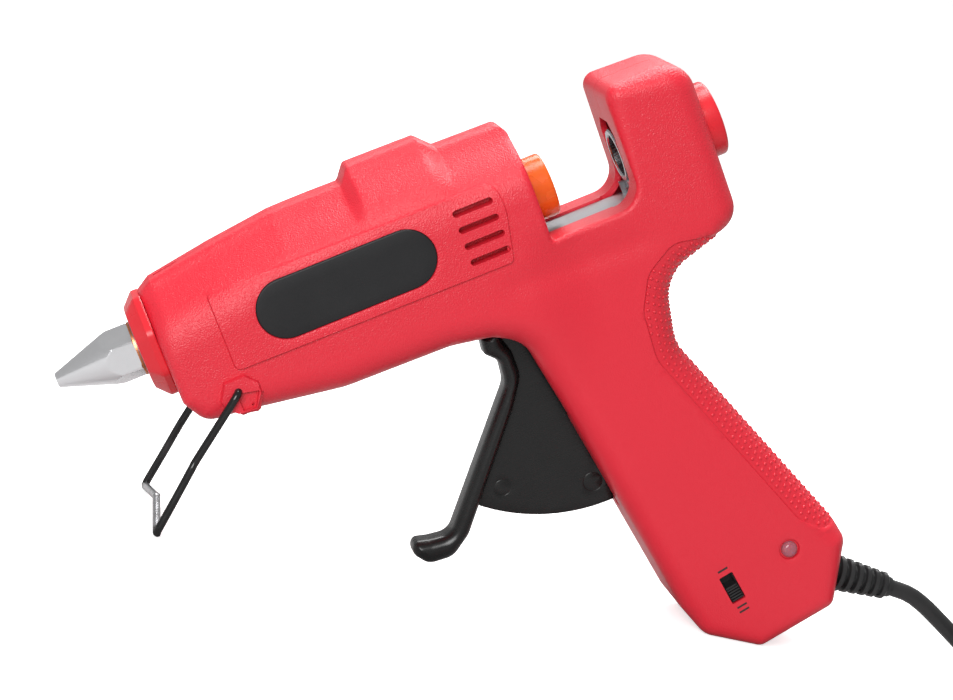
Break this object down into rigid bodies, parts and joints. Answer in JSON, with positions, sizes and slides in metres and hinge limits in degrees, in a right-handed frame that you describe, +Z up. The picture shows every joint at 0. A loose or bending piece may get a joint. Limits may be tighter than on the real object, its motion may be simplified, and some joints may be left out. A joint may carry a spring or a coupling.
{
  "type": "glue gun",
  "caption": "Hot-melt glue gun with a metal nozzle, folding wire stand, pulled trigger that feeds the stick, open stick notch, two-level slide switch and a coiled mains lead.",
  "frame": {"origin": "middle of the standing gun's box at the ground, without the lead", "axes": "+Z up; +X back along the ground from the nozzle to the handle; +Y away from the switch side"},
  "size_m": [0.3616, 0.0822, 0.1593],
  "materials": {
    "coral_housing": "fine leather grain",
    "black_label": "satin",
    "red_collar": "smooth",
    "nozzle_alloy": "turned and milled",
    "copper_washer": "plain",
    "polished_steel": "ground",
    "spring_steel": "drawn",
    "brass_seat": "turned",
    "cast_aluminium": "cast",
    "heater_ceramic": "matt",
    "phenolic_board": "sawn",
    "orange_silicone": "smooth, translucent",
    "zinc_plated_steel": "zinc plated",
    "gloss_black_plastic": "moulded, glossy",
    "matte_black_plastic": "moulded",
    "black_wire": "black coating, bare foot bar",
    "lens_plastic": "frosted",
    "neon_lamp": "clear",
    "circuit_board": "plain",
    "black_screw": "black oxide",
    "cord_jacket": "satin PVC",
    "lead_insulation": "glass-fibre sleeve",
    "relief_rubber": "satin PVC",
    "tie_strap": "paper-backed wire tie",
    "plug_plastic": "moulded PVC",
    "brass_blade": "stamped"
  },
  "bodies": {
    "gun": {"left_housing": "coral_housing", "right_housing": "coral_housing", "left_label_plate": "black_label", "right_label_plate": "black_label", "nose_collar": "red_collar", "nozzle": "nozzle_alloy", "nozzle_washer": "copper_washer", "valve_spring": "spring_steel", "valve_seat": "brass_seat", "melt_chamber": "cast_aluminium", "heater_element": "heater_ceramic", "heater_clip": "spring_steel", "front_chamber_support": "phenolic_board", "rear_chamber_support": "phenolic_board", "inlet_sleeve": "orange_silicone", "sleeve_clamp": "spring_steel", "return_spring": "spring_steel", "trigger_pin": "polished_steel", "inlet_collar": "red_collar", "pilot_lens": "lens_plastic", "pilot_lamp": "neon_lamp", "pilot_board": "circuit_board", "switch_body": "gloss_black_plastic", "cord_clamp": "phenolic_board", "cord_clamp_screws": "polished_steel", "housing_screws": "black_screw", "inner_lead": "cord_jacket", "heater_leads": "lead_insulation", "lead_splices": "lead_insulation", "strain_relief": "relief_rubber", "power_cord": "cord_jacket", "cord_coil": "cord_jacket", "cord_tie": "tie_strap", "plug_body": "plug_plastic", "plug_blades": "brass_blade"},
    "trigger": {"trigger": "gloss_black_plastic"},
    "carriage": {"feed_carriage": "zinc_plated_steel", "drive_pin": "polished_steel", "grip_ring_pin": "polished_steel"},
    "ring": {"grip_ring": "zinc_plated_steel"},
    "stand": {"stand_wire": "black_wire"},
    "switch": {"switch_slider": "matte_black_plastic"},
    "ball": {"valve_ball": "polished_steel"}
  },
  "joints": [
    {"name": "trigger_pull", "type": "hinge", "parent": "gun", "child": "trigger", "pos_m": [0.00427, 0, 0.07701], "axis": [0, -1, 0], "range_deg": [0, 25], "stiffness_Nm_per_rad": 0.25, "springref_deg": -22.92},
    {"name": "carriage_feed", "type": "slide", "parent": "gun", "child": "carriage", "axis": [-0.8192, 0, -0.5736], "range_m": [0, 0.0106], "stiffness_N_per_m": 60, "springref_m": -0.02, "deforming": ["return_spring"]},
    {"name": "ring_tilt", "type": "hinge", "parent": "carriage", "child": "ring", "pos_m": [0.01818, 0, 0.12252], "axis": [0, 1, 0], "range_deg": [0, 5.2]},
    {"name": "stand_fold", "type": "hinge", "parent": "gun", "child": "stand", "pos_m": [-0.0817, 0, 0.04428], "axis": [0, -1, 0], "range_deg": [0, 118]},
    {"name": "switch_slide", "type": "slide", "parent": "gun", "child": "switch", "axis": [-0.6884, 0, 0.7254], "range_m": [0, 0.004]},
    {"name": "valve_open", "type": "slide", "parent": "gun", "child": "ball", "axis": [-0.8192, 0, -0.5736], "range_m": [0, 0.0012], "stiffness_N_per_m": 200, "springref_m": -0.002, "deforming": ["valve_spring"]}
  ],
  "couplings": [
    {"joint": "carriage_feed", "follows": "trigger_pull", "m_per_rad": 0.02386},
    {"joint": "ring_tilt", "follows": "trigger_pull", "ratio": 0.2}
  ]
}
